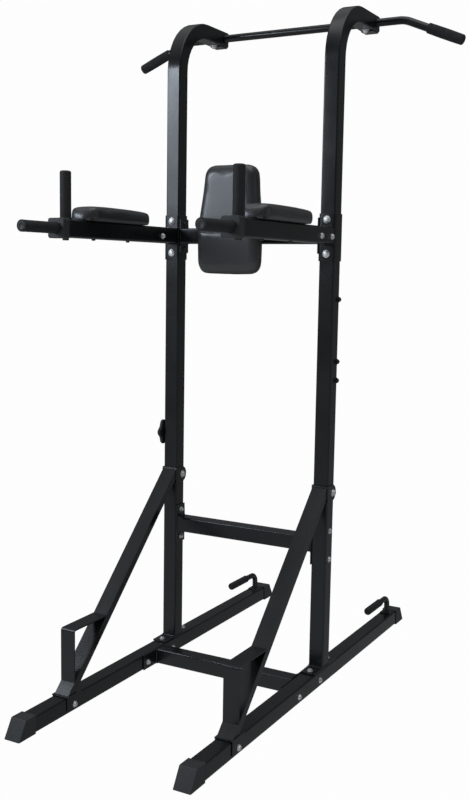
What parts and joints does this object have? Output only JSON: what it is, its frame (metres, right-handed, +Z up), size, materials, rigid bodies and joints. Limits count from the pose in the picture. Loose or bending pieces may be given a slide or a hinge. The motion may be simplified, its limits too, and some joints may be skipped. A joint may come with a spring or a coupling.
{
  "type": "power tower",
  "caption": "Free-standing steel tower with a pull-up bar, padded dip arms, a back pad, foot steps and low push-up handles.",
  "frame": {"origin": "on the floor, at the middle of the base's length and width", "axes": "+Z up, -Y to the front where the dip arms point, +X to the right of someone who faces the back pad"},
  "size_m": [1.1948, 1.565, 2.134],
  "materials": {
    "powder_coat": "black satin powder coat on steel tube",
    "zinc": "bright zinc plated steel",
    "cap_plastic": "dark grey moulded plastic with a fine grain",
    "knob_plastic": "black moulded plastic",
    "grip_rubber": "matt black rubber",
    "grip_foam": "matt black closed-cell foam",
    "pad_vinyl": "black upholstery vinyl with a fine leather grain",
    "pad_board": "plywood"
  },
  "bodies": {
    "frame": {"arm_end_cap_left": "cap_plastic", "arm_end_cap_right": "cap_plastic", "arm_pad_board_left": "pad_board", "arm_pad_board_right": "pad_board", "arm_pad_left": "pad_vinyl", "arm_pad_right": "pad_vinyl", "back_board": "pad_board", "back_crossbar": "powder_coat", "back_pad": "pad_vinyl", "back_pad_bracket": "powder_coat", "bar_saddle_bolt_left": "zinc", "bar_saddle_bolt_right": "zinc", "bar_saddle_left": "powder_coat", "bar_saddle_right": "powder_coat", "base_crossmember": "powder_coat", "base_leg_left": "powder_coat", "base_leg_right": "powder_coat", "brace_foot_bolt_left": "zinc", "brace_foot_bolt_right": "zinc", "brace_left": "powder_coat", "brace_right": "powder_coat", "brace_top_bolt_left": "zinc", "brace_top_bolt_right": "zinc", "dip_arm_left": "powder_coat", "dip_arm_right": "powder_coat", "dip_bar_left": "zinc", "dip_bar_right": "zinc", "dip_grip_left": "grip_rubber", "dip_grip_right": "grip_rubber", "foot_cap_front_left": "cap_plastic", "foot_cap_front_right": "cap_plastic", "foot_cap_rear_left": "cap_plastic", "foot_cap_rear_right": "cap_plastic", "foot_step_left": "powder_coat", "foot_step_right": "powder_coat", "joint_sleeve_left": "powder_coat", "joint_sleeve_right": "powder_coat", "lower_upright_left": "powder_coat", "lower_upright_right": "powder_coat", "mid_crossbar": "powder_coat", "pull_up_bar": "powder_coat", "pull_up_grip_left": "grip_foam", "pull_up_grip_right": "grip_foam", "push_up_grip_left": "grip_rubber", "push_up_grip_right": "grip_rubber", "push_up_handle_left": "powder_coat", "push_up_handle_right": "powder_coat", "sleeve_bolt_high_left": "zinc", "sleeve_bolt_high_right": "zinc", "sleeve_bolt_low_left": "zinc", "sleeve_bolt_low_right": "zinc", "upper_upright_left": "powder_coat", "upper_upright_right": "powder_coat", "vertical_bar_left": "powder_coat", "vertical_bar_right": "powder_coat", "vertical_grip_left": "grip_rubber", "vertical_grip_right": "grip_rubber"},
    "knob": {"hand_knob": "knob_plastic"}
  },
  "joints": [
    {"name": "knob_turn", "type": "hinge", "parent": "frame", "child": "knob", "pos_m": [-0.3076, 0.0575, 0.768], "axis": [1, 0, 0], "continuous": true}
  ]
}
